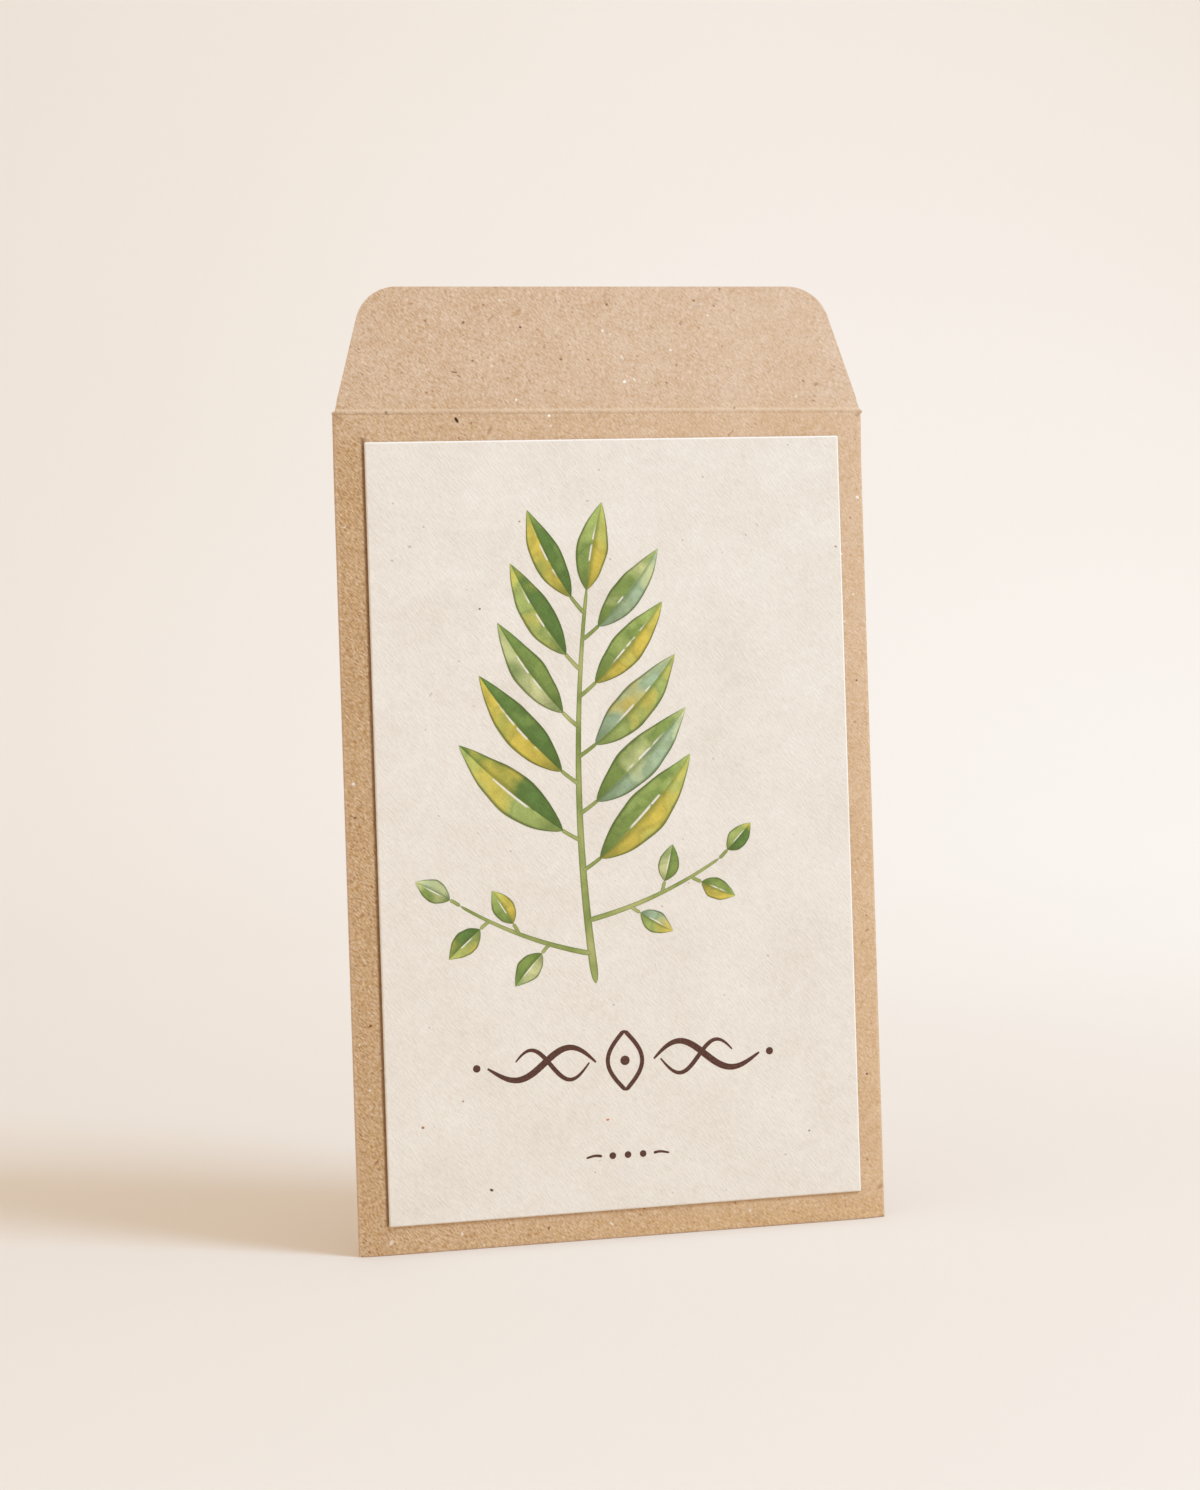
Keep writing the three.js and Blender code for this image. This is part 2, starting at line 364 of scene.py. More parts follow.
# Single flecks of each colour: place across and up the sheet, length, width, angle in degrees, strength
KRAFT_FLECKS = {
    DEEP_FLECK: (
        (-22.0, 119.5, 1.05, 0.46, -56, 1.0),
    ),
    DARK_FLECK: (
        (-21.9, 126.6, 1.1, 0.24, -12, 0.75),
        (-21.3, 126.0, 0.6, 0.24, -40, 0.65),
        (-11.7, 133.3, 0.42, 0.34, 0, 0.95),
        (-5.9, 128.5, 0.42, 0.28, -15, 0.85),
        (15.0, 137.3, 0.38, 0.32, 0, 0.85),
        (-12.1, 2.0, 0.65, 0.22, 75, 0.9),
        (-37.4, 32.8, 0.55, 0.34, 30, 0.85),
        (-38.6, 62.7, 0.42, 0.28, 20, 0.9),
        (37.9, 80.3, 0.34, 0.28, 0, 0.85),
        (37.6, 21.4, 0.4, 0.34, 0, 0.9),
    ),
    BROWN_FLECK: (
        (-17.8, 125.7, 0.34, 0.26, 20, 0.8),
        (-25.3, 123.8, 0.34, 0.26, 0, 0.8),
        (-28.6, 129.0, 0.26, 0.24, 0, 0.8),
        (-4.6, 130.6, 0.26, 0.24, 0, 0.8),
        (18.9, 130.4, 0.3, 0.26, 0, 0.8),
        (-19.8, 119.1, 0.44, 0.34, 30, 0.7),
        (-17.1, 118.0, 1.5, 0.5, 55, 0.35),
        (-2.5, 3.9, 0.8, 0.2, 60, 0.6),
        (-37.1, 13.3, 1.2, 0.2, 48, 0.8),
    ),
    SOFT_BLOT: (
        (-11.9, 135.5, 1.3, 0.95, 40, 0.45),
        (-18.1, 136.2, 1.2, 0.85, -30, 0.4),
    ),
    WHITE_FLECK: (
        (-13.0, 122.4, 0.44, 0.36, 60, 1.0),
        (0.7, 132.8, 0.5, 0.32, -60, 0.8),
        (3.4, 128.7, 0.85, 0.24, -55, 0.55),
        (3.5, 125.1, 0.52, 0.46, 0, 1.0),
        (5.0, 125.4, 0.7, 0.26, -50, 0.7),
        (-8.2, 120.1, 0.48, 0.4, 0, 1.0),
        (-8.0, 118.6, 0.4, 0.34, 0, 0.5),
        (-35.4, 1.6, 0.8, 0.6, 50, 0.5),
        (-25.0, 2.1, 0.5, 0.36, 80, 0.6),
        (-2.6, 1.9, 0.85, 0.3, -45, 0.6),
        (18.6, 2.3, 0.5, 0.34, 0, 0.6),
        (-37.8, 23.6, 0.42, 0.32, 0, 0.8),
        (-39.0, 30.2, 0.6, 0.24, 60, 0.6),
    ),
}
CARD_FLECKS = {
    DARK_FLECK: (
        (-19.7, 92.5, 0.34, 0.28, 0, 0.9),
        (27.9, 13.8, 0.36, 0.3, 0, 0.7),
    ),
    BROWN_FLECK: (
        (-13.4, 105.0, 0.34, 0.28, 0, 0.7),
        (-24.5, 21.6, 0.34, 0.28, 0, 0.8),
        (34.9, 100.3, 0.45, 0.3, -10, 0.7),
        (-29.7, 101.7, 0.6, 0.45, 0, 0.35),
        (-27.3, 80.4, 0.8, 0.22, 60, 0.35),
    ),
    "a8602f": (
        (-30.5, 18.2, 0.5, 0.42, 0, 0.9),
    ),
    "cf6b35": (
        (-3.0, 17.5, 0.6, 0.34, 10, 0.9),
    ),
    DEEP_FLECK: (
        (-20.7, 8.5, 0.62, 0.4, -30, 0.95),
    ),
}


def with_specks(shader, place, colour, specks):
    """The colour with scattered marks on it, one to a cell of the pitch, drawn out along their angle."""
    for angle, pitch, stretch, size, share, strength, wobble, paint in specks:
        bent = place
        if wobble:
            offset = shader.swing(shader.noise(place, scale=0.9, detail=1.0), wobble)
            bent = shader.vector("ADD", place, shader.join(offset, offset))
        distance, look = shader.cells(shader.turned(bent, angle, 1 / (pitch * stretch), 1 / pitch))
        chance, reach, _ = shader.split(look)
        chosen = shader.ramp(chance, 1 - share - 0.001, 1 - share + 0.001)
        radius = shader.ramp(reach, 0.0, 1.0, size * 0.4 / pitch, size / pitch, smooth=False)
        inside = shader.math("SUBTRACT", 1.0, shader.math("DIVIDE", distance, radius), clamp=True)
        mark = shader.times(shader.ramp(inside, 0.0, 0.5), chosen)
        colour = shader.lay(colour, mark, strength, paint)
    return colour


def with_flecks(shader, place, colour, flecks):
    """The colour with single flecks laid on it at their own places."""
    for paint, rows in flecks.items():
        for across, up, length, width, angle, strength in rows:
            offset = shader.vector("SUBTRACT", place, (across, up, 0.0))
            near = shader.turned(offset, angle, 2 / length, 2 / width)
            reach = shader.vector("LENGTH", near, output="Value")
            colour = shader.lay(colour, shader.ramp(reach, 1.2, 0.6), strength, paint)
    return colour


def threads(shader, place, angle, along, across):
    """Thin wandering lines along an angle, where a stretched noise passes through its middle value."""
    level = shader.noise(shader.turned(place, angle, along, across), detail=1.0, distortion=0.6)
    return shader.ramp(shader.math("ABSOLUTE", shader.minus(level, 0.5)), 0.045, 0.01)


def kraft_place(shader):
    """A point's place on the flat sheet. Where the paper bends with the flap, it is measured round the hinge,
    so that the fibres keep their size when the flap is folded over."""
    bending, offset, _ = shader.split(shader.attribute("roll"))
    across, depth, height = shader.split(shader.node("TexCoord").outputs["Object"])
    behind = shader.minus(depth, HINGE[1] * MM)
    above = shader.minus(height, HINGE[2] * MM)
    arc = shader.times(shader.math("ARCTAN2", behind, above), HINGE_DEPTH)
    rolled = shader.join(shader.math("DIVIDE", across, MM), shader.plus(arc, offset))
    return shader.mix(bending, shader.attribute("sheet"), rolled)


def card_edge_shadow(shader, place):
    """A dark line painted on the kraft paper round the card, strongest at its left and lower edges: the
    card's painted shadow.
    """
    across, up, _ = shader.split(place)
    middle = (CARD_LOW + CARD_HIGH) / 2
    half = (CARD_HIGH - CARD_LOW) / 2
    sideways = shader.minus(shader.math("ABSOLUTE", across), half[0])
    upward = shader.minus(shader.math("ABSOLUTE", shader.minus(up, middle[2])), half[2])
    line = shader.ramp(shader.math("MAXIMUM", sideways, upward), 0.45, 0.0)
    leftness = shader.ramp(across, -35.0, -36.0, 0.0, 1.0)
    lowness = shader.ramp(up, 4.6, 3.8, 0.0, 0.65)
    return shader.times(line, shader.math("MAXIMUM", leftness, lowness))


def kraft_material():
    """Kraft paper: fine felt with threads, specks and flecks, coarser to the left, with painted shade and
    painted highlight laid over it.
    """
    shader = Shader("kraft")
    place = kraft_place(shader)
    across = shader.split(place)[0]
    outside = shader.attribute("outside", "Fac")
    warmth_and_shade = shader.attribute("warmth_and_shade", "Fac")
    felt = shader.swing(shader.noise(place, scale=12.0, detail=0.0, distortion=1.0), 0.8)
    for angle, along, crosswise, weight in FELT_LAYERS:
        fibres = shader.noise(shader.turned(place, angle, along, crosswise), detail=0.0, distortion=0.3)
        felt = shader.plus(felt, shader.swing(fibres, weight))
    coarseness = shader.ramp(across, 30.0, -35.0, 0.7, 1.05)
    coarseness = shader.ramp(outside, 0.0, 1.0, 0.8, coarseness, smooth=False)
    felt = shader.times(felt, coarseness)
    patches = shader.noise(place, scale=0.5, detail=2.0, roughness=0.6)
    clouds = shader.noise(place, scale=0.12, detail=2.0)
    mottle = shader.ramp(warmth_and_shade, 0.4, 1.0, 0.5, 0.95)
    tone = shader.plus(0.5, shader.times(felt, mottle))
    tone = shader.plus(tone, shader.swing(patches, 0.36))
    tone = shader.plus(tone, shader.swing(clouds, 0.28))
    colour = shader.mix(warmth_and_shade, shader.colours(tone, *PALE_STOCK), shader.colours(tone, *WARM_STOCK))
    for angle, along, crosswise, strength, paint in KRAFT_THREADS:
        mark = threads(shader, place, angle, along, crosswise)
        colour = shader.lay(colour, shader.times(mark, coarseness), strength, paint)
    colour = with_specks(shader, place, colour, KRAFT_SPECKS)
    colour = with_flecks(shader, place, colour, KRAFT_FLECKS)
    # Pale rubbing on the side folds, and painted highlight on the crease ridge and the lower left corner.
    colour = shader.lay(colour, shader.attribute("wear", "Fac"), 0.45, "ead3b6")
    # Painted shade under the crease, under the shoulders and along the left margin, and the card's painted
    # shadow at its left and lower edges.
    painted_shade = shader.math("MAXIMUM", shader.attribute("painted_shade", "Fac"), card_edge_shadow(shader, place))
    colour = shader.lay(colour, painted_shade, 0.75, "6e4a2c")
    relief = shader.ramp(outside, 0.0, 1.0, 0.5, 1.0, smooth=False)
    shader.bump(shader.times(felt, relief), FELT_RELIEF * MM, 0.9)
    return shader.finish(colour, shader.ramp(tone, 0.2, 0.8, 0.84, 0.96, smooth=False))


def card_shader(name):
    """A shader for the cream card or a paint on it, with the card's low diagonal tooth as its relief."""
    shader = Shader(name)
    place = shader.attribute("sheet")
    rows = shader.noise(shader.turned(place, -50, 0.9, 3.8), detail=1.0, distortion=0.4)
    cross = shader.noise(shader.turned(place, 38, 1.6, 2.6), detail=2.0, roughness=0.6, distortion=0.5)
    swell = shader.noise(place, scale=0.55, detail=2.0)
    tooth = shader.plus(shader.times(rows, 0.75), shader.times(cross, 0.45))
    tooth = shader.plus(tooth, shader.times(shader.minus(swell, 0.6), 0.45))
    shader.bump(tooth, TOOTH_RELIEF * MM, 0.8)
    return shader, place, tooth


def card_colour(shader, place, tooth):
    clouds = shader.noise(place, scale=0.09, detail=3.0)
    tone = shader.plus(shader.times(tooth, 0.55), shader.times(clouds, 0.45))
    return shader.colours(tone, (0.30, "ddd1c0"), (0.50, "e6dbcc"), (0.70, "ede4d6"))


def card_material():
    """Cream card with scattered specks and flecks, and a painted highlight along its right and upper edges,
    where the cut edge faces the light.
    """
    shader, place, tooth = card_shader("card")
    colour = card_colour(shader, place, tooth)
    colour = with_specks(shader, place, colour, CARD_SPECKS)
    colour = with_flecks(shader, place, colour, CARD_FLECKS)
    across, up, _ = shader.split(place)
    # Painted highlight along the card's right and upper edges.
    right_highlight = shader.ramp(across, CARD_HIGH[0] - 0.34, CARD_HIGH[0] - 0.12)
    top_highlight = shader.ramp(up, CARD_HIGH[2] - 0.34, CARD_HIGH[2] - 0.12)
    colour = shader.lay(colour, shader.math("MAXIMUM", right_highlight, top_highlight), 0.85, "fbf4ea")
    return shader.finish(colour, 0.88)


# Paints, seeds and the stage

def leaf_paint():
    """Watercolour: two washes meeting at the midrib, blooms, pooled edges and a sliver of bare paper."""
    shader, place, tooth = card_shader("leaf_paint")
    along, across, _ = shader.split(shader.attribute("leaf"))
    drift = shader.noise(place, scale=0.6, detail=2.0, roughness=0.55)
    grains = shader.noise(place, scale=3.6, detail=3.0, roughness=0.7)
    half = shader.ramp(shader.plus(across, shader.swing(drift, 0.16)), -0.03, 0.05)
    left, right, bloom = (shader.attribute("wash_" + part, "Color") for part in ("left", "right", "bloom"))
    colour = shader.mix(half, left, right)
    pool = shader.plus(shader.noise(place, scale=0.2, detail=1.0), shader.swing(along, 0.30))
    pool = shader.plus(pool, shader.swing(drift, 0.14))
    colour = shader.lay(colour, shader.ramp(pool, 0.42, 0.72), 0.75, bloom)
    colour = shader.lay(colour, shader.band(pool, 0.40, 0.46, 0.47, 0.55), 0.25, "62743a")
    depth = shader.ramp(along, 0.0, 1.0, 0.80, 1.10, smooth=False)
    depth = shader.plus(depth, shader.ramp(grains, 0.25, 0.75, -0.10, 0.10, smooth=False))
    depth = shader.plus(depth, shader.ramp(drift, 0.3, 0.7, -0.12, 0.12, smooth=False))
    deepened = shader.node("VectorMath", colour)
    deepened.operation = "SCALE"
    shader.put(deepened.inputs["Scale"], depth)
    edge = shader.plus(shader.math("ABSOLUTE", across), shader.times(grains, 0.12))
    colour = shader.lay(deepened.outputs[0], shader.ramp(edge, 0.86, 1.03), 0.8, "4f5c26")
    colour = shader.lay(colour, shader.band(across, -0.40, -0.02, -0.01, 0.03), 0.55, "55682f")
    colour = shader.lay(colour, shader.ramp(along, 0.30, 0.0), 0.55, "51632b")
    sliver = shader.band(across, 0.0, 0.04, 0.09, 0.15)
    sliver = shader.times(sliver, shader.band(along, 0.22, 0.36, 0.58, 0.80))
    broken = shader.ramp(shader.noise(place, scale=0.45, detail=1.0), 0.43, 0.5)
    colour = shader.lay(colour, sliver, broken, card_colour(shader, place, tooth))
    return shader.finish(colour, 0.86)


def stem_paint():
    shader, place, _ = card_shader("stem_paint")
    across = shader.split(shader.attribute("leaf"))[1]
    drift = shader.noise(place, scale=0.16, detail=3.0)
    colour = shader.colours(drift, (0.3, "75823f"), (0.5, "9aa05c"), (0.7, "b5b272"))
    pooled = shader.ramp(shader.math("ABSOLUTE", across), 0.45, 1.0)
    return shader.finish(shader.lay(colour, pooled, 0.6, "5a6a38"), 0.86)


def ink_paint():
    shader, place, _ = card_shader("ink_paint")
    dry = shader.noise(place, scale=3.2, detail=3.0, roughness=0.65)
    colour = shader.colours(dry, (0.3, "4a2c22"), (0.55, "5d3b2e"), (0.8, "7a5545"))
    return shader.finish(colour, 0.8, specular=0.3)


def seed_material():
    shader = Shader("seed")
    place = shader.attribute("sheet")
    streaks = shader.noise(shader.vector("MULTIPLY", place, (1.6, 1.6, 0.7)), detail=4.0, roughness=0.65)
    pits = shader.noise(place, scale=2.6, detail=3.0, roughness=0.7)
    tone = shader.plus(shader.times(streaks, 0.6), shader.times(pits, 0.4))
    colour = shader.colours(tone, (0.3, "2e2018"), (0.5, "5b4130"), (0.7, "8a6a4c"))
    colour = shader.lay(colour, shader.attribute("wear", "Fac"), 0.75, "cbb48e")
    shader.bump(tone, 0.25 * MM, 0.8)
    return shader.finish(colour, 0.72, specular=0.35)


def stage_material():
    shader = Shader("stage_paper")
    place = shader.node("NewGeometry").outputs["Position"]
    soft = shader.noise(place, scale=1.5, detail=2.0)
    return shader.finish(shader.colours(soft, (0.3, "f0e8dd"), (0.7, "f2eae0")), 0.95, specular=0.1)


# Sheets of paper

def grid_normals(middle, used):
    """Unit normals of a grid of points, looking only at neighbours that are used."""
    slopes = []
    for axis in (1, 0):
        sides = []
        for step, edge in ((-1, -1), (1, 0)):
            there = np.roll(used, step, axis)
            np.moveaxis(there, axis, 0)[edge] = False
            sides.append(np.where(there[..., None], np.roll(middle, step, axis), middle))
        slopes.append(sides[0] - sides[1])
    normal = np.cross(slopes[0], slopes[1])
    length = np.linalg.norm(normal, axis=2, keepdims=True)
    return normal / np.maximum(length, 1e-12)


# How a value at the points is stored, by how many numbers it has
POINT_VALUES = {1: ("FLOAT", "value"), 3: ("FLOAT_VECTOR", "vector"), 4: ("FLOAT_COLOR", "color")}


class MeshParts:
    """Closed sheets gathered into one mesh, with values kept at their points."""

    def __init__(self):
        self.points = []
        self.faces = []
        self.values = {}
        self.count = 0

    def add_sheet(self, middle, thickness, present=None, **values):
        """A grid of points becomes a sheet of the given thickness. present says which cells there are."""
        rows, columns = middle.shape[:2]
        if present is None:
            present = np.ones((rows - 1, columns - 1), bool)
        used = np.zeros((rows, columns), bool)
        for row_step in (0, 1):
            for column_step in (0, 1):
                used[row_step:rows - 1 + row_step, column_step:columns - 1 + column_step] |= present
        normal = grid_normals(middle, used)
        number = np.full((rows, columns), -1)
        number[used] = np.arange(used.sum()) + self.count
        under = used.sum()
        self.points.append((middle + normal * thickness / 2)[used])
        self.points.append((middle - normal * thickness / 2)[used])
        for name, value in values.items():
            kept = np.asarray(value, float)[used]
            self.values.setdefault(name, []).extend([kept, kept])
        a, b = number[:-1, :-1], number[:-1, 1:]
        c, d = number[1:, 1:], number[1:, :-1]
        self.faces.append(np.stack([a, b, c, d], -1)[present])
        self.faces.append(np.stack([d, c, b, a], -1)[present] + under)
        padded = np.pad(present, 1)
        for start, end, beyond in (
            (a, b, padded[:-2, 1:-1]),
            (b, c, padded[1:-1, 2:]),
            (c, d, padded[2:, 1:-1]),
            (d, a, padded[1:-1, :-2]),
        ):
            rim = present & ~beyond
            self.faces.append(np.stack([end, start, start + under, end + under], -1)[rim])
        self.count += 2 * under

    def add_solid(self, points, faces, **values):
        self.points.append(points)
        self.faces.append(np.asarray(faces) + self.count)
        for name, value in values.items():
            self.values.setdefault(name, []).append(np.asarray(value, float))
        self.count += len(points)

    def make(self, name, material, slot, sharp=math.radians(40)):
        mesh = bpy.data.meshes.new(name)
        faces = [face.tolist() for block in self.faces for face in block]
        mesh.from_pydata((np.concatenate(self.points) * MM).tolist(), [], faces)
        for key, blocks in self.values.items():
            value = np.concatenate(blocks).astype(np.float32)
            kind, field = POINT_VALUES[value.size // len(value)]
            layer = mesh.attributes.new(key, kind, "POINT")
            layer.data.foreach_set(field, value.ravel())
        mesh.materials.append(material)
        mesh.shade_smooth()
        mesh.set_sharp_from_angle(angle=sharp)
        piece = add_object(name, mesh)
        return piece


# The folded kraft sheet

def smooth(value, low, high):
    share = np.clip((value - low) / (high - low), 0, 1)
    return share * share * (3 - 2 * share)


def bell(value, centre, width):
    return np.exp(-((value - centre) / width) ** 2)


def back_depth(z):
    below = np.clip(1 - z / BELLY_HEIGHT, 0, 1)
    above = np.clip((z - BELLY_HEIGHT) / (THROAT_HEIGHT - BELLY_HEIGHT), 0, 1)
    low = BELLY_DEPTH - (BELLY_DEPTH - BASE_DEPTH) * below ** 2
    high = BELLY_DEPTH - (BELLY_DEPTH - MOUTH_DEPTH) * above ** TAPER_POWER
    return np.where(z < BELLY_HEIGHT, low, high)


def back_inside(x, z):
    across = np.minimum(np.abs(x) / HALF_WIDTH, 1)
    return LAYER_STEP + (back_depth(z) - PAPER - LAYER_STEP) * (1 - across ** BACK_FULLNESS)


def back_top(x):
    return THROAT_HEIGHT + (SHOULDER_HEIGHT - THROAT_HEIGHT) * (x / HALF_WIDTH) ** 2


def right_panel_rise(x):
    lap_end = SEAM_LAP / 2 + 1.5
    return LAYER_STEP * (1 - smooth(x, lap_end, lap_end + LAP_RAMP))


def bottom_flap_rise(x):
    lap_start = -SEAM_LAP / 2 - 0.5
    return LAYER_STEP + right_panel_rise(x) * smooth(x, lap_start - LAP_RAMP, lap_start)


def bottom_flap_depth(x, z):
    return back_inside(x, z) + bottom_flap_rise(x) + PAPER / 2


def front_depth(x, z):
    """Middle of the front's paper behind the front face: flat, and rolled back a little at the margins."""
    margin = np.clip((np.abs(x) - ROLL_START) / (HALF_WIDTH - ROLL_START), 0, 1)
    hold = 1 - 0.75 * smooth(z, CREASE_HEIGHT - 9, CREASE_HEIGHT)
    return PAPER / 2 + ROLL_DEPTH * margin ** 2 * hold


def flap_half_width(up):
    """Half the top flap's width at a height above its base."""
    tilt = math.atan(FLAP_SIDE_SLOPE)
    corner_reach = FLAP_CORNER * math.tan(math.pi / 4 - tilt / 2)
    centre_x = FLAP_HALF_BASE - FLAP_SIDE_SLOPE * FLAP_LENGTH - corner_reach
    centre_up = FLAP_LENGTH - FLAP_CORNER
    if up <= centre_up + FLAP_CORNER * math.sin(tilt):
        return FLAP_HALF_BASE - FLAP_SIDE_SLOPE * up
    return centre_x + math.sqrt(max(FLAP_CORNER ** 2 - (up - centre_up) ** 2, 0))


def bottom_flap_half_width(z):
    into_corner = max(z - (BOTTOM_FLAP_HEIGHT - BOTTOM_FLAP_CORNER), 0)
    rounding = BOTTOM_FLAP_CORNER - math.sqrt(max(BOTTOM_FLAP_CORNER ** 2 - into_corner ** 2, 0))
    return BOTTOM_FLAP_HALF_BASE - FLAP_SIDE_SLOPE * z - rounding


def flap_point(up):
    """Depth and height of the leaning flap's middle, at a distance up from its base."""
    rise = up + FLAP_START
    offset = PAPER / 2 - HINGE_DEPTH
    depth = HINGE_DEPTH + offset * math.cos(FLAP_LEAN) + rise * math.sin(FLAP_LEAN)
    height = CREASE_HEIGHT - offset * math.sin(FLAP_LEAN) + rise * math.cos(FLAP_LEAN)
    return depth, height


def flap_heights():
    """Rows up the top flap, close together round its corners."""
    tilt = math.atan(FLAP_SIDE_SLOPE)
    corner = FLAP_LENGTH - FLAP_CORNER + FLAP_CORNER * np.sin(np.linspace(tilt, math.pi / 2, 22))
    return np.concatenate([np.linspace(1.6, corner[0], 17)[:-1], corner])


def central_rows(x):
    """The middle strip of the sheet, row by row from the bottom flap's edge, under the base, up the front and
    out along the top flap. x runs from -1 to 1 across it. A row holds its points and its kind."""
    rows = []

    def add(across, depth, height, kind):
        rows.append((across, depth, np.full_like(x, height), kind))

    fold_turn = np.linspace(0, math.pi / 2, 6)
    flap_z = BOTTOM_FLAP_HEIGHT * np.sin(np.linspace(math.pi / 2, 0, 24)[:-1])
    for z in (*flap_z[flap_z > FOLD_Z], FOLD_Z):
        across = x * bottom_flap_half_width(z)
        add(across, bottom_flap_depth(across, z), z, "bottom_flap")
    across = x * BOTTOM_FLAP_HALF_BASE
    back = bottom_flap_depth(across, FOLD_Z)
    for turn in fold_turn[1:]:
        add(across, back - FOOT_RADIUS * (1 - math.cos(turn)), FOLD_Z - FOOT_RADIUS * math.sin(turn), "base")
    for share in np.linspace(1, 0, 10)[1:-1]:
        across = x * (BOTTOM_FLAP_HALF_BASE * share + FOLD_X * (1 - share))
        front = front_depth(across, 0) + FOOT_RADIUS
        add(across, front + (back - FOOT_RADIUS - front) * share, FOLD_Z - FOOT_RADIUS, "base")
    across = x * FOLD_X
    for turn in fold_turn[:0:-1]:
        depth = front_depth(across, 0) + FOOT_RADIUS * (1 - math.cos(turn))
        kind = "foot" if turn == fold_turn[1] else "base"
        add(across, depth, FOLD_Z - FOOT_RADIUS * math.sin(turn), kind)
    heights = np.concatenate([
        [FOLD_Z, 0.55, 0.85, 1.2, 1.6, 2.2],
        np.linspace(3, CREASE_HEIGHT - 3, 100),
        np.linspace(CREASE_HEIGHT - 2.6, SHOULDER_HEIGHT, 11),
    ])
    for z in heights:
        add(across, front_depth(across, z), z, "front")
    for z in np.arange(SHOULDER_HEIGHT + CREASE_STEP, CREASE_HEIGHT + CREASE_TOP, CREASE_STEP):
        up = max((z - CREASE_HEIGHT) / math.cos(FLAP_LEAN), 0)
        narrowed = smooth(z, CREASE_HEIGHT - 0.2, CREASE_HEIGHT + 0.15)
        shoulder = HALF_WIDTH - (HALF_WIDTH - FLAP_HALF_BASE) * narrowed
        shoulder += SHOULDER_SWELL * bell(z, CREASE_HEIGHT - 0.2, 0.28)
        across = x * (shoulder - FLAP_SIDE_SLOPE * up)
        lean = flap_point(up)[0] - flap_point(0)[0]
        ridge = RIDGE_HEIGHT * bell(z, CREASE_HEIGHT + 0.1, RIDGE_WIDTH)
        groove = GROOVE_DEPTH * bell(z, CREASE_HEIGHT - 0.42, GROOVE_WIDTH)
        add(across, front_depth(across, z) + lean - ridge + groove, z, "crease")
    for up in flap_heights():
        across = x * flap_half_width(up)
        flatten = smooth(up, 1.0, 4.0)
        short = 1 - FLAP_SHORT * (0.5 - across / (2 * FLAP_HALF_BASE)) * flatten
        depth, height = flap_point(up * short)
        start = front_depth(across, CREASE_HEIGHT) - PAPER / 2
        add(across, depth + start * (1 - flatten), height, "flap")
    return rows


def side_columns(side, seam_x, rise):
    """Columns round a side fold and across a back panel to the seam. A column holds its kind, its turn or its
    place across, and its rise over the layer below."""
    turns = np.linspace(-math.pi / 2, math.pi / 2, 10)[1:-1]
    reach = np.concatenate([np.linspace(FOLD_X, 34, 16), np.linspace(33, side * seam_x, 34)])
    return [("fold", turn, None) for turn in turns] + [("panel", side * x, rise) for x in reach]


def side_point(column, side, z):
    """A column's point in the row where the front's height is z."""
    kind, place, rise = column
    edge = front_depth(FOLD_X, z)
    if kind == "fold":
        depth = edge + FOLD_RADIUS * (1 + math.sin(place))
        return side * (FOLD_X + FOLD_RADIUS * math.cos(place)), depth, z
    height = FOLD_Z + (z - FOLD_Z) * (back_top(place) - FOLD_Z) / (SHOULDER_HEIGHT - FOLD_Z)
    lift = edge + 2 * FOLD_RADIUS - back_inside(FOLD_X, height) - PAPER / 2
    lift *= math.exp(-(FOLD_X - abs(place)) / LIFT_REACH)
    return place, back_inside(place, height) + PAPER / 2 + rise(place) + lift, height


def wave(x, z, layer, length_x, length_z):
    return noise.noise(Vector((x / length_x, layer, z / length_z)))


def sheet_waves(middle, kinds):
    """Slow unevenness of the paper: slight on the front, more on the bellied back."""
    waved = middle.copy()
    for place in np.ndindex(kinds.shape):
        x, _, z = middle[place]
        if kinds[place] == "panel":
            height = PANEL_WAVE * wave(x, z, 3.0, 13, 19) + PANEL_RIPPLE * wave(x, z, 8.0, 5, 7)
            waved[place][1] += height * min(max((HALF_WIDTH - abs(x)) / 8, 0), 1)
        elif kinds[place] in ("front", "flap"):
            away = min(abs(z - CREASE_HEIGHT) / 4, 1)
            waved[place][1] += WAVE_HEIGHT * wave(x, z, 1.0, 17, 17) * away
    return waved


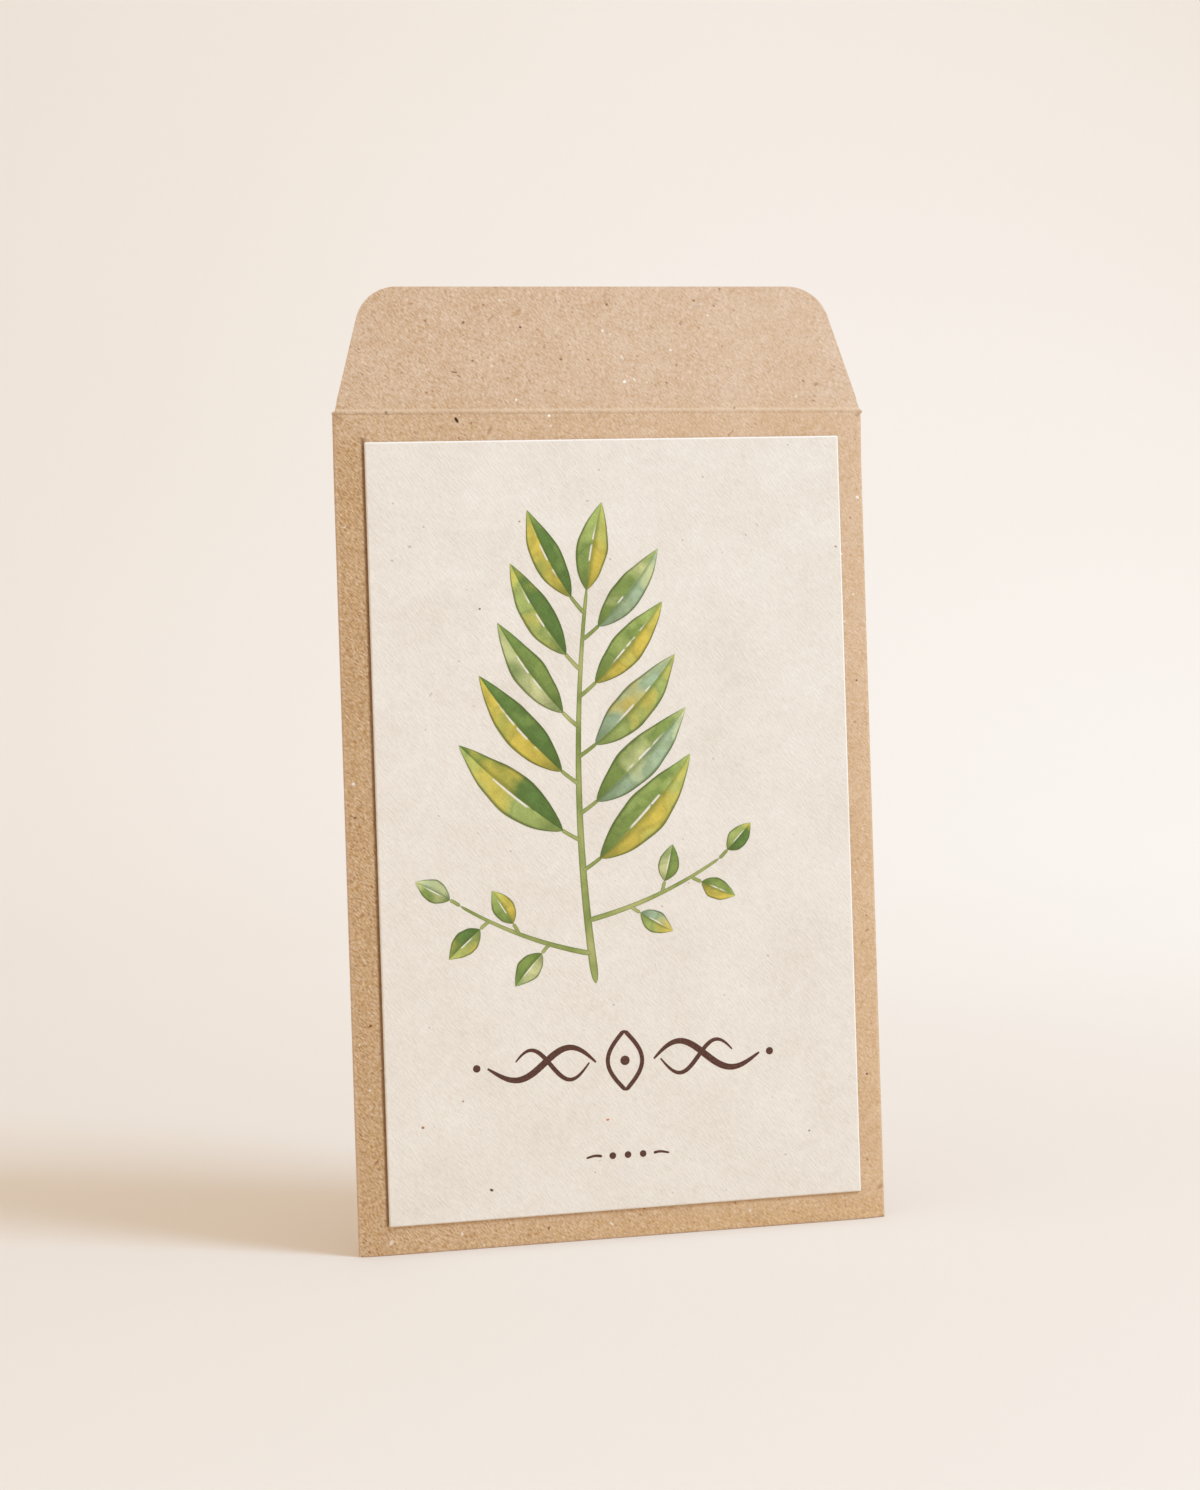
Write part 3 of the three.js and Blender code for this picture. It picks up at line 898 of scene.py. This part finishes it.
def sheet_tones(middle, kinds):
    """Where the paper is rubbed pale on its folds and carries painted highlight on the crease ridge and the
    lower left corner, where painted shade darkens it, where its stock is warmer and darker, as painted shade
    towards the left, and which parts lie outside the back and the base. Their felt is the rougher."""
    x, z = middle[..., 0], middle[..., 2]
    crease = kinds == "crease"
    front = (kinds == "front") | crease
    flap = kinds == "flap"
    fold = kinds == "fold"
    # A painted highlight in a small wedge at the lower left corner, another along the crease ridge, and pale
    # rubbing on the side folds.
    corner_out = (x + HALF_WIDTH + z) / math.sqrt(2)
    corner_off = (x + HALF_WIDTH - z) / math.sqrt(2)
    corner_highlight = bell(corner_off, 0, 0.3) * (corner_out < 1.9) * front
    wear = 0.3 * fold + crease * bell(z, CREASE_HEIGHT + 0.1, 0.17) + 0.9 * corner_highlight
    # Painted shade: a dark line in the groove under the crease, stronger to the left, and dark spots under
    # the shoulders. A little is also painted along the left margin.
    groove = bell(z, CREASE_HEIGHT - 0.36, 0.14) * (0.16 + 0.2 * smooth(-x, 10, 39))
    shoulder_shade = bell(np.abs(x), 39.6, 0.5) * bell(z, CREASE_HEIGHT - 0.75, 0.3)
    left = smooth(-x, 32.5, 37.0) * smooth(-z, -CREASE_HEIGHT, -CREASE_HEIGHT + 6)
    right = smooth(x, 30, 36) * smooth(-z, -110, -30)
    low = smooth(-z, -9.0, -1.0)
    painted_shade = groove * crease + 0.7 * shoulder_shade * front + 0.09 * left * front
    # The warm, darker stock along the left margin and towards the left of the front is painted shade. The
    # stock is also warmer along the bottom and low on the right margin.
    middle_warmth_and_shade = 0.30 + 0.2 * smooth(-x, -10, 35) + 0.3 * right
    warmth_and_shade = np.maximum(np.maximum(left, 0.9 * low), middle_warmth_and_shade)
    warmth_and_shade = np.where(front, warmth_and_shade, BACK_WARMTH)
    # Painted shade: above the crease the flap's stock grows warmer and darker towards the left.
    upper = 0.22 * smooth(-x, -20, 36)
    above = smooth(z, CREASE_HEIGHT - 1.2, CREASE_HEIGHT + 2.5) * (front | flap)
    return {
        "wear": np.clip(wear, 0, 1),
        "painted_shade": np.clip(painted_shade, 0, 1),
        "warmth_and_shade": warmth_and_shade * (1 - above) + upper * above,
        "outside": front | flap | fold | (kinds == "foot"),
    }


def bending_places(middle, flat):
    """Which points bend when the flap turns, and what to add to their arc round the hinge to get their place
    up the flat sheet."""
    height = middle[..., 2] - CREASE_HEIGHT
    inside = np.abs(middle[..., 0]) < HALF_WIDTH + 1
    roll = np.zeros_like(middle)
    roll[..., 0] = (height > -BEND_BELOW) & (height < BEND_ABOVE) & inside
    roll[..., 1] = flat[..., 1] - np.arctan2(middle[..., 1] - HINGE[1], height) * HINGE_DEPTH
    return roll


def sheet_grid(x, rows):
    """The whole sheet as one grid, with the side folds and the back panels beside the front's rows. Returns
    its points, their places on the flat sheet, their kinds, and which of its cells there are."""
    left = side_columns(-1, SEAM_LAP / 2, lambda place: 0.0)
    right = side_columns(1, -SEAM_LAP / 2, right_panel_rise)
    before = len(left)
    after = before + len(x)
    total = after + len(right)
    kinds = np.array([[row[3]] * total for row in rows])
    middle = np.zeros((*kinds.shape, 3))
    flat = np.zeros((*kinds.shape, 3))
    used = np.zeros(kinds.shape, bool)
    used[:, before:after] = True
    for r, (across, depth, height, kind) in enumerate(rows):
        middle[r, before:after] = np.stack([across, depth, height], -1)
        flat[r, before:after, 0] = across
        if kind not in ("front", "foot"):
            continue
        z = height[0] if kind == "front" else 0.01
        for side, columns, first in ((-1, left[::-1], 0), (1, right, after)):
            for c, column in enumerate(columns, first):
                middle[r, c] = side_point(column, side, z)
                used[r, c] = True
                kinds[r, c] = column[0]
                if column[0] == "fold":
                    bent = FOLD_RADIUS * (column[1] + math.pi / 2)
                else:
                    bent = FOLD_RADIUS * math.pi + FOLD_X - side * column[1]
                flat[r, c, 0] = side * (FOLD_X + bent)
    steps = np.linalg.norm(np.diff(middle[:, before + len(x) // 2], axis=0), axis=1)
    travel = np.concatenate([[0], np.cumsum(steps)])
    foot = [row[3] for row in rows].index("foot")
    flat[..., 1] = (travel - travel[foot])[:, None]
    present = used[:-1, :-1] & used[:-1, 1:] & used[1:, :-1] & used[1:, 1:]
    present[foot, [before - 1, after - 1]] = False
    return middle, flat, kinds, present


def kraft_sheet(material):
    fine = np.linspace(0.86, 1.0, 15)
    x = np.concatenate([-fine[::-1], np.linspace(-0.86, 0.86, 77)[1:-1], fine])
    middle, flat, kinds, present = sheet_grid(x, central_rows(x))
    middle = sheet_waves(middle, kinds)
    middle[..., 1] += FRONT
    roll = bending_places(middle, flat)
    parts = MeshParts()
    parts.add_sheet(middle, PAPER, present, sheet=flat, roll=roll, **sheet_tones(middle, kinds))
    piece = parts.make("kraft_sheet", material, "kraft")
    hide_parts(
        "front_panel", "left_back_panel", "right_back_panel", "base_panel", "bottom_flap", "top_flap"
    )
    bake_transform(piece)


# The card and what is painted on it

def cream_card(material):
    xs = np.linspace(CARD_LOW[0], CARD_HIGH[0], 73)
    zs = np.linspace(CARD_LOW[2], CARD_HIGH[2], 113)
    share_x = np.linspace(0, 1, len(xs))[None, :]
    share_z = np.linspace(0, 1, len(zs))[:, None]
    middle = np.zeros((len(zs), len(xs), 3))
    middle[..., 0] = xs[None, :] + CARD_SHIFT
    middle[..., 1] = (CARD_LOW[1] + CARD_HIGH[1]) / 2
    low_edge = CARD_LOW[2] + CARD_SLANT_LOW * (share_x - 0.5)
    high_edge = CARD_HIGH[2] + CARD_SLANT_HIGH * (share_x - 0.4)
    middle[..., 2] = low_edge * (1 - share_z) + high_edge * share_z
    flat = np.zeros_like(middle)
    flat[..., 0] = xs[None, :]
    flat[..., 1] = zs[:, None]
    parts = MeshParts()
    parts.add_sheet(middle, CARD_HIGH[1] - CARD_LOW[1], sheet=flat)
    piece = parts.make("cream_card", material, "card")
    bevel = piece.modifiers.new("cut_edge", "BEVEL")
    bevel.width = CARD_BEVEL * MM
    bevel.segments = 2
    bevel.limit_method = "ANGLE"
    bevel.angle_limit = math.radians(50)
    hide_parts("label_card")
    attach(piece, "pocket")


# Films of paint: how thick one is, how far it stands out of the card, and the step between films that cross
FILM = 0.03
FILM_LIFT = 0.004
FILM_STEP = 0.009

# The branch's root, length, leaves and steps, and the heights of the brush ornament and the dots under it
BRANCH_ROOT = (-4.0, 37.5)
BRANCH_LENGTH = 58
BRANCH_LEAVES = 10
BRANCH_STEPS = 120
ORNAMENT_HEIGHT = 26.0
DOTS_HEIGHT = 12.2

LIGHT_GREEN = "a9b566"
MID_GREEN = "87994e"
DEEP_GREEN = "66803f"
SAGE = "a9bb96"
YELLOW = "d6be52"
OCHRE = "cdb045"
PALE_GREEN = "cfce90"
WASHES = [
    (DEEP_GREEN, LIGHT_GREEN, YELLOW),
    (YELLOW, MID_GREEN, LIGHT_GREEN),
    (MID_GREEN, PALE_GREEN, DEEP_GREEN),
    (LIGHT_GREEN, SAGE, OCHRE),
    (DEEP_GREEN, YELLOW, MID_GREEN),
    (SAGE, MID_GREEN, PALE_GREEN),
]


def add_film(painting, plan, level, **values):
    """A flat mark on the card's front, as a thin film that reaches a little into the card. plan holds X and Z
    for each row and column of points. Films that cross differ in level."""
    middle = np.zeros((*plan.shape[:2], 3))
    middle[..., 0] = plan[..., 0]
    middle[..., 1] = CARD_LOW[1] - FILM_LIFT - FILM_STEP * level
    middle[..., 2] = plan[..., 1]
    flat = middle[..., [0, 2, 1]]
    flat[..., 2] = 0
    painting.add_sheet(middle, FILM, sheet=flat, **values)


def along_curve(start, heading, length, bend, steps):
    """Points and unit normals of an arc that leaves start at a heading and turns by bend over its length."""
    share = np.linspace(0, 1, steps)
    turn = heading + bend * share
    halfway = (turn[:-1] + turn[1:]) / 2
    legs = np.stack([np.cos(halfway), np.sin(halfway)], -1) * length / (steps - 1)
    points = np.concatenate([[start], start + np.cumsum(legs, axis=0)])
    return share, points, np.stack([-np.sin(turn), np.cos(turn)], -1)


def paint_leaf(painting, start, heading, length, width, bend, wash, seed, level=3):
    """A lance-shaped leaf with a slightly uneven brushed edge."""
    share, spine, normal = along_curve(start, heading, length, bend, 34)
    across = np.linspace(-1, 1, 13)
    outline = np.sin(np.pi * share ** 0.86) ** 0.92 * width / 2 + 0.03
    plan = np.zeros((len(share), len(across), 2))
    for side, half in ((-1, across < 0), (1, across >= 0)):
        for k, along in enumerate(share):
            uneven = 1 + 0.09 * noise.noise(Vector((seed * 7.3 + side * 3, along * 5, 0.0)))
            plan[k, half] = spine[k] + normal[k] * (across[half] * outline[k] * uneven)[:, None]
    place = np.zeros((*plan.shape[:2], 3))
    place[..., 0] = share[:, None]
    place[..., 1] = across[None, :]
    left, right, bloom = (np.tile([*srgb(paint), 1.0], (*plan.shape[:2], 1)) for paint in wash)
    add_film(painting, plan, level, leaf=place, wash_left=left, wash_right=right, wash_bloom=bloom)


def paint_stroke(painting, points, widths, level=0):
    """A brush stroke along points, as wide as widths say, with round ends."""
    points = np.asarray(points, float)
    widths = np.asarray(widths, float)
    slope = np.gradient(points, axis=0)
    slope /= np.maximum(np.linalg.norm(slope, axis=1, keepdims=True), 1e-9)
    normal = np.stack([-slope[:, 1], slope[:, 0]], -1)
    across = np.linspace(-1, 1, 5)
    plan = points[:, None, :] + normal[:, None, :] * (across[None, :, None] * widths[:, None, None] / 2)
    place = np.zeros((*plan.shape[:2], 3))
    place[..., 0] = np.linspace(0, 1, len(points))[:, None]
    place[..., 1] = across[None, :]
    add_film(painting, plan, level, leaf=place)


def round_ends(count, width, taper=1.0):
    """Widths of a stroke that has round ends and tapers towards its end."""
    share = np.linspace(0, 1, count)
    cap = 1.0
    for from_end in (share, 1 - share):
        cap = cap * np.sqrt(np.clip(1 - (1 - np.minimum(from_end / 0.05, 1)) ** 2, 0.02, 1))
    return width * cap * (1 - (1 - taper) * share)


def sprig(leaves, stems):
    """An upright stem with lance-shaped leaves set by turns on either side, and two budded twigs."""
    draw = random.Random(11)
    _, spine, _ = along_curve(BRANCH_ROOT, math.radians(97), BRANCH_LENGTH, math.radians(-15), BRANCH_STEPS)
    paint_stroke(stems, spine, round_ends(BRANCH_STEPS, 1.25, 0.4))
    for place in range(BRANCH_LEAVES):
        side = -1 if place % 2 else 1
        share = 0.29 + 0.65 * place / (BRANCH_LEAVES - 1)
        k = int(share * (BRANCH_STEPS - 1))
        ahead = spine[k + 1] - spine[k - 1]
        heading = math.atan2(ahead[1], ahead[0])
        angle = heading - side * math.radians(64 - 1.8 * place + draw.uniform(-2, 2))
        _, stalk, _ = along_curve(spine[k], angle, 3.4, side * 0.15, 12)
        paint_stroke(stems, stalk, round_ends(12, 0.62, 0.8), level=1)
        size = (20.5 - 0.75 * place) * draw.uniform(0.97, 1.03)
        bend = side * math.radians(draw.uniform(10, 18))
        wash = WASHES[(place * 5 + 1) % len(WASHES)]
        width = size * draw.uniform(0.29, 0.32)
        paint_leaf(leaves, stalk[-2], angle + side * 0.15, size, width, bend, wash, place)
    tip = spine[-1] - spine[-3]
    paint_leaf(leaves, spine[-2], math.atan2(tip[1], tip[0]), 13.0, 4.6, math.radians(-8), WASHES[1], 40)
    for share, side, reach in ((0.16, 1, 22), (0.08, -1, 21)):
        k = int(share * (BRANCH_STEPS - 1))
        heading = math.radians(90 - side * 78)
        _, twig, _ = along_curve(spine[k], heading, reach, side * math.radians(20), 40)
        paint_stroke(stems, twig, round_ends(40, 0.8, 0.5), level=1)
        for bud in range(4):
            upward = 1 if bud % 2 else -1
            turn = heading + side * (0.45 if bud == 3 else 0.06 * bud + 0.9 * upward)
            _, stalk, _ = along_curve(twig[12 + bud * 9], turn, 1.8, 0.2, 8)
            paint_stroke(stems, stalk, round_ends(8, 0.5), level=2)
            wash = WASHES[(bud * 5 + 2 + (side > 0)) % len(WASHES)]
            size = draw.uniform(5.2, 6.4)
            paint_leaf(leaves, stalk[-1], turn + 0.1, size, size * 0.56, 0.1, wash, 20 + bud + 5 * side)


def ornament(ink):
    """Plain brush work: a waved rule round a lozenge, and dots under it."""
    rule = np.linspace(0, 1, 90)
    lozenge = np.linspace(0, 1, 40)
    dash = np.linspace(0, 1, 16)
    for side in (-1, 1):
        x = side * (4.4 + 16.2 * rule)
        z = ORNAMENT_HEIGHT + 2.6 * np.sin(2 * np.pi * rule) * (1 - 0.35 * rule)
        paint_stroke(ink, np.stack([x, z], -1), 0.25 + 0.75 * np.sin(np.pi * rule) ** 0.7)
        x = side * (5.4 + 11.0 * rule)
        z = ORNAMENT_HEIGHT - 2.3 * np.sin(1.9 * np.pi * rule)
        paint_stroke(ink, np.stack([x, z], -1), 0.2 + 0.45 * np.sin(np.pi * rule) ** 0.8, level=1)
        dot(ink, side * 22.2, ORNAMENT_HEIGHT + 0.1, 0.55)
        x = side * 2.6 * np.sin(np.pi * lozenge)
        z = ORNAMENT_HEIGHT - 4.4 + 8.8 * lozenge
        paint_stroke(ink, np.stack([x, z], -1), round_ends(40, 0.62), level=side + 1)
        points = np.stack([side * (3.9 + 2.4 * dash), DOTS_HEIGHT + 0.15 * np.sin(4 * dash)], -1)
        paint_stroke(ink, points, round_ends(16, 0.42, 0.7))
    dot(ink, 0, ORNAMENT_HEIGHT, 0.7)
    for k in (-1, 0, 1):
        dot(ink, k * 2.3, DOTS_HEIGHT, 0.5)


def dot(ink, x, z, radius):
    """A round dab of ink."""
    share = np.linspace(0, 1, 18)
    points = np.stack([np.full(18, x), z - radius + 2 * radius * share], -1)
    paint_stroke(ink, points, 2 * radius * np.sqrt(np.clip(1 - (2 * share - 1) ** 2, 0.002, 1)))


def print_card():
    leaves, stems, ink = MeshParts(), MeshParts(), MeshParts()
    sprig(leaves, stems)
    ornament(ink)
    for painting, name, material, slot in (
        (stems, "stem_print", stem_paint(), "print_green"),
        (leaves, "leaf_print", leaf_paint(), "print_green"),
        (ink, "ink_print", ink_paint(), "print_brown"),
    ):
        piece = painting.make(name, material, slot)
        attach(piece, "pocket")


# Seeds

# How much of its box's half width a husk takes without its ridges, and the widest turn it may be given
HUSK_SHARE = 0.97
FULL_TURN = 6.28


def husk_faces(around, up):
    """Quads between the rings of a round body, and a cap of triangles at either end."""
    quads = []
    for ring in range(up - 2):
        for k in range(around):
            a = ring * around + k
            b = ring * around + (k + 1) % around
            quads.append((a, a + around, b + around, b))
    last = (up - 2) * around
    top = last + around
    caps = [(top, k, (k + 1) % around) for k in range(around)]
    caps += [(top + 1, last + (k + 1) % around, last + k) for k in range(around)]
    return quads, np.array(caps)


def seed_husks(material):
    """Each seed is round with three papery ridges down it, and turned its own way."""
    around, up = 48, 25
    quads, caps = husk_faces(around, up)
    draw = random.Random(5)
    names = (name for name in frame["nodes"] if name.startswith("seed_"))
    for name in sorted(names, key=lambda name: int(name[5:])):
        low, high = (np.array(corner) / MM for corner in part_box(name))
        centre = (low + high) / 2
        radius = (high - low).min() / 2 * HUSK_SHARE
        tip = Matrix.Rotation(draw.uniform(0, FULL_TURN), 3, "X")
        turn = tip @ Matrix.Rotation(draw.uniform(0, FULL_TURN), 3, "Z")
        points, wear = [], []
        for ring in range(1, up):
            polar = math.pi * ring / up
            for k in range(around):
                angle = 2 * math.pi * k / around
                points.append(seed_point(angle, polar, radius))
                wear.append(ridge_share(angle) * math.sin(polar))
        points += [seed_point(0, 0, radius), seed_point(0, math.pi, radius)]
        wear += [0.3, 0.3]
        points = np.array([turn @ Vector(point) for point in points])
        parts = MeshParts()
        parts.add_solid(points + centre, quads, sheet=points + centre * 3, wear=wear)
        parts.faces.append(caps)
        piece = parts.make("husk_" + name[5:], material, "seed", sharp=math.radians(70))
        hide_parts(name)
        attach(piece, "pocket")


def ridge_share(angle):
    return abs(math.cos(1.5 * angle)) ** 22


def seed_point(angle, polar, radius):
    ring = math.sin(polar)
    swell = 1 + 0.06 * ridge_share(angle) * ring
    swell += 0.02 * noise.noise(Vector((math.cos(angle) * 3, math.sin(angle) * 3, polar * 2)))
    reach = radius * swell
    return (reach * ring * math.cos(angle), reach * ring * math.sin(angle), reach * math.cos(polar) * 1.02)


# Stage and light

def make_stage(material):
    """A wide pale floor that curves up into a backdrop behind the packet."""
    side, near, bend_start, bend_radius, top = 6.0, -6.0, 0.6, 1.2, 5.0
    profile = [(near, 0.0), (bend_start, 0.0)]
    for k in range(1, 33):
        turn = math.pi / 2 * k / 32
        profile.append((bend_start + bend_radius * math.sin(turn), bend_radius * (1 - math.cos(turn))))
    profile.append((bend_start + bend_radius, top))
    points = [(x, y, z) for y, z in profile for x in (-side, side)]
    faces = [(2 * k, 2 * k + 1, 2 * k + 3, 2 * k + 2) for k in range(len(profile) - 1)]
    mesh = bpy.data.meshes.new("floor")
    mesh.from_pydata(points, [], faces)
    mesh.materials.append(material)
    mesh.shade_smooth()
    floor = add_object("floor", mesh)


def area_light(name, place, target, size, light_rgb):
    """A round soft light. light_rgb holds its power in watts for red, green and blue."""
    data = bpy.data.lights.new(name, "AREA")
    data.shape = "DISK"
    data.size = size
    data.energy = max(light_rgb)
    data.color = [part / max(light_rgb) for part in light_rgb]
    light = add_object(name, data)
    light.location = place
    toward = Vector(place) - Vector(target)
    light.rotation_euler = toward.to_track_quat("Z", "Y").to_euler()


def light_scene():
    world = bpy.data.worlds.new("studio")
    world.use_nodes = True
    background = world.node_tree.nodes["Background"]
    background.inputs["Color"].default_value = (*(part / max(WORLD) for part in WORLD), 1.0)
    background.inputs["Strength"].default_value = max(WORLD)
    bpy.context.scene.world = world
    azimuth, height = math.radians(KEY_AZIMUTH), math.radians(KEY_HEIGHT)
    target = (0.0, 0.0, 0.05)
    place = (
        KEY_DISTANCE * math.sin(azimuth) * math.cos(height),
        -KEY_DISTANCE * math.cos(azimuth) * math.cos(height),
        KEY_DISTANCE * math.sin(height) + target[2],
    )
    area_light("key", place, target, KEY_SIZE, KEY)
    area_light("backdrop_light", (0.65, 0.3, 0.9), (0.80, 1.5, 0.32), 0.8, BACKDROP_LIGHT)
    bpy.context.scene.view_settings.view_transform = "Standard"


make_camera()
kraft_sheet(kraft_material())
cream_card(card_material())
print_card()
seed_husks(seed_material())
make_stage(stage_material())
light_scene()
